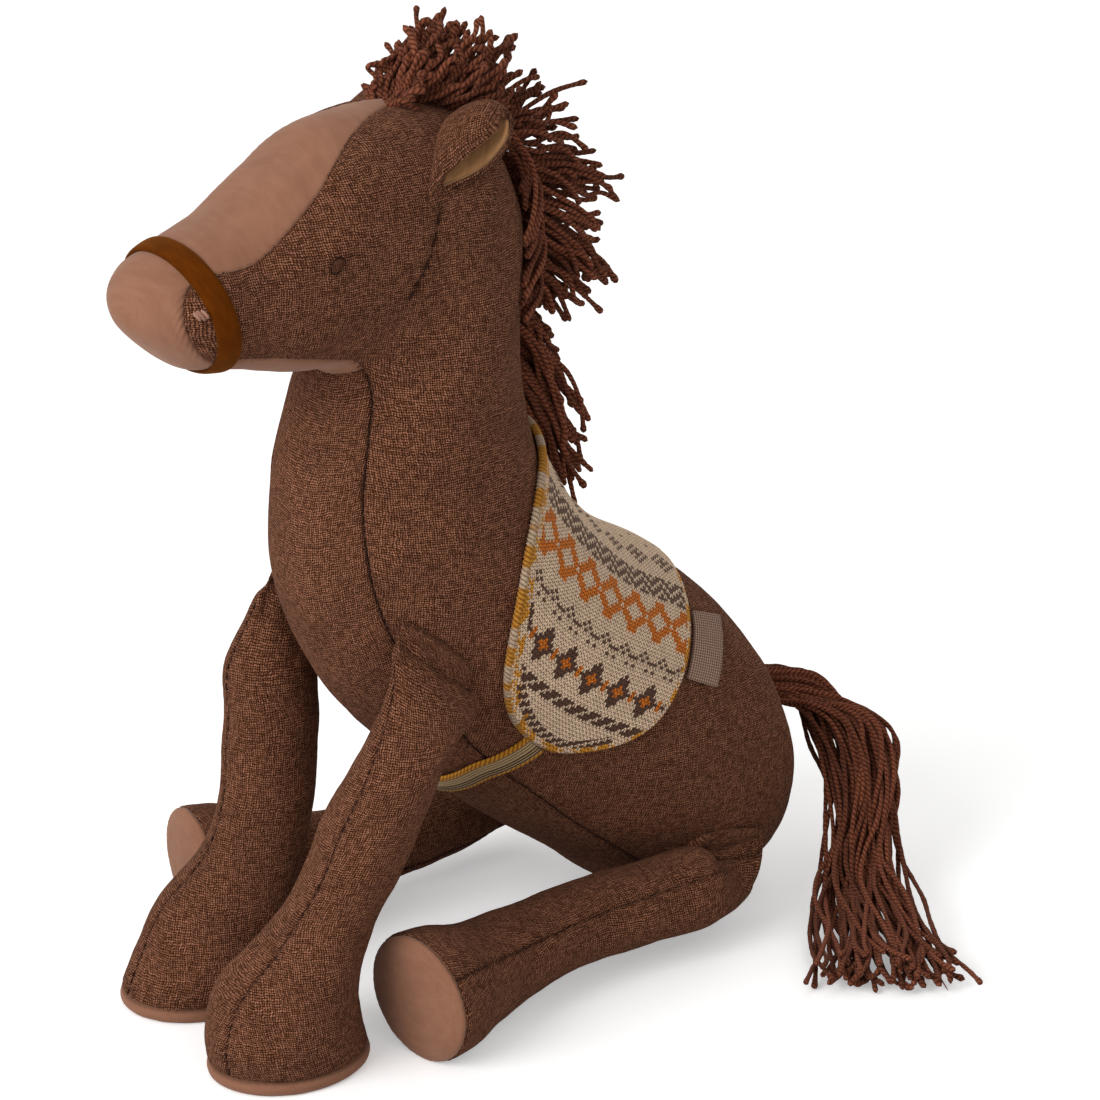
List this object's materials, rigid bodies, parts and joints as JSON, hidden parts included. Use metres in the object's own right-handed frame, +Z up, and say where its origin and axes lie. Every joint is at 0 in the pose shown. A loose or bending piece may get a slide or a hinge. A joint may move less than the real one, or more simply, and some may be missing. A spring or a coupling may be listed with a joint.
{
  "type": "seated plush horse",
  "caption": "Soft stuffed linen horse, seated, with swinging legs, ears and tail, yarn mane, ribbon noseband and a knitted saddle blanket with girth.",
  "frame": {"origin": "middle of the flat under the rump, on the surface that the toy sits on", "axes": "+Z up, the horse faces -Y, its left side is +X"},
  "size_m": [0.1883, 0.2456, 0.2725],
  "materials": {
    "brown_linen": "open plain-weave linen, matt",
    "rose_velour": "short soft pile, matt",
    "caramel_velvet": "velvet ribbon, soft sheen",
    "cream_knit": "patterned stockinette knit, matt",
    "ochre_thread": "overlocked thread edge",
    "striped_webbing": "narrow striped woven tape",
    "rust_yarn": "twisted wool yarn, matt",
    "khaki_velvet": "velvet lining, soft sheen",
    "brown_grosgrain": "ribbed ribbon, matt",
    "pink_thread": "embroidery thread",
    "brown_thread": "embroidery thread, slight sheen",
    "polyester_filling": "loose fibre filling"
  },
  "bodies": {
    "body": {"left_side_panel": "brown_linen", "right_side_panel": "brown_linen", "belly_gusset": "brown_linen", "blaze_panel": "rose_velour", "chin_gusset": "rose_velour", "muzzle_panel": "rose_velour", "torso_stuffing": "polyester_filling", "head_stuffing": "polyester_filling", "eye_left": "brown_thread", "eye_right": "brown_thread", "nostril_left": "pink_thread", "nostril_right": "pink_thread", "noseband": "caramel_velvet", "saddle_blanket": "cream_knit", "blanket_edging": "ochre_thread", "girth_strap": "striped_webbing", "label_tab": "brown_grosgrain", "mane_forelock": "rust_yarn", "mane_crest": "rust_yarn", "mane_neck": "rust_yarn"},
    "front_leg_left": {"front_leg_left_cloth": "brown_linen", "front_leg_left_stuffing": "polyester_filling", "front_leg_left_sole": "rose_velour"},
    "front_leg_right": {"front_leg_right_cloth": "brown_linen", "front_leg_right_stuffing": "polyester_filling", "front_leg_right_sole": "rose_velour"},
    "hind_leg_left": {"hind_leg_left_cloth": "brown_linen", "hind_leg_left_stuffing": "polyester_filling", "hind_leg_left_sole": "rose_velour"},
    "hind_leg_right": {"hind_leg_right_cloth": "brown_linen", "hind_leg_right_stuffing": "polyester_filling", "hind_leg_right_sole": "rose_velour"},
    "ear_left": {"ear_left_outer": "brown_linen", "ear_left_lining": "khaki_velvet"},
    "ear_right": {"ear_right_outer": "brown_linen", "ear_right_lining": "khaki_velvet"},
    "tail": {"tail_yarn": "rust_yarn"}
  },
  "joints": [
    {"name": "front_leg_left_swing", "type": "hinge", "parent": "body", "child": "front_leg_left", "pos_m": [0.0319, -0.11949, 0.10909], "axis": [-0.8445, 0.4953, 0.2035], "range_deg": [0, 95]},
    {"name": "front_leg_right_swing", "type": "hinge", "parent": "body", "child": "front_leg_right", "pos_m": [-0.0319, -0.11949, 0.10909], "axis": [-0.8445, -0.4953, -0.2035], "range_deg": [0, 95]},
    {"name": "hind_leg_left_swing", "type": "hinge", "parent": "body", "child": "hind_leg_left", "pos_m": [0.03846, -0.01876, 0.02635], "axis": [0.8957, -0.1557, -0.4166], "range_deg": [-40, 90]},
    {"name": "hind_leg_right_swing", "type": "hinge", "parent": "body", "child": "hind_leg_right", "pos_m": [-0.03846, -0.01876, 0.02635], "axis": [0.8957, 0.1557, 0.4166], "range_deg": [-40, 90]},
    {"name": "ear_left_flap", "type": "hinge", "parent": "body", "child": "ear_left", "pos_m": [0.02308, -0.10931, 0.24057], "axis": [-0.4594, 0.5475, 0.6994], "range_deg": [-10, 12], "stiffness_Nm_per_rad": 0.004},
    {"name": "ear_right_flap", "type": "hinge", "parent": "body", "child": "ear_right", "pos_m": [-0.02308, -0.10931, 0.24057], "axis": [-0.4594, -0.5475, -0.6994], "range_deg": [-10, 12], "stiffness_Nm_per_rad": 0.004},
    {"name": "tail_swing", "type": "hinge", "parent": "body", "child": "tail", "pos_m": [0, 0.02348, 0.05395], "axis": [0, -1, 0], "range_deg": [-40, 60]}
  ]
}
